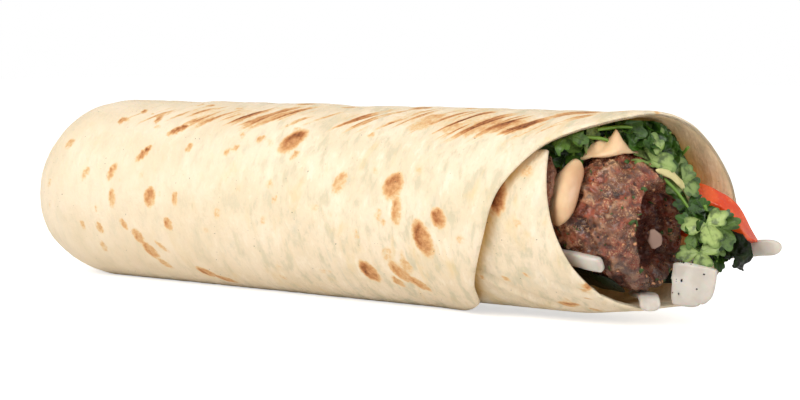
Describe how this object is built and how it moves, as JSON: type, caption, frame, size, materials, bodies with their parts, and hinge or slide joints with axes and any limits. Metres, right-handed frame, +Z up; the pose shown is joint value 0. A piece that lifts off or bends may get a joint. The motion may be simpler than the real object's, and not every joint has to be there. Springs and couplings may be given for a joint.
{
  "type": "doner kebab wrap",
  "caption": "Rolled flatbread wrap lying on its side, closed at one end and open at the other on minced-meat kebab, herbs, sauce, tomato and onion.",
  "frame": {"origin": "on the flat strip that the roll rests on, under the middle of the bread's length", "axes": "+X along the roll towards the open mouth, +Z up, -Y the side where the outer layer's slanting edge shows"},
  "size_m": [0.2703, 0.0614, 0.0617],
  "materials": {
    "flatbread": "matt, baked and toasted in spots",
    "meat": "grilled, moist and rough",
    "sauce": "smooth and moist",
    "herbs": "fresh leaf",
    "leaf": "wilted leaf",
    "tomato": "moist",
    "onion": "moist and translucent"
  },
  "bodies": {
    "root": {"flatbread": "flatbread", "meat_front": "meat", "meat_back": "meat", "sauce_side": "sauce", "sauce_top": "sauce", "herbs_top": "herbs", "herbs_front": "herbs", "leaf_lower": "leaf", "leaf_wilted": "leaf", "tomato": "tomato", "onion_left": "onion", "onion_narrow": "onion", "onion_big": "onion", "onion_tip": "onion", "onion_chip": "onion"}
  },
  "joints": []
}
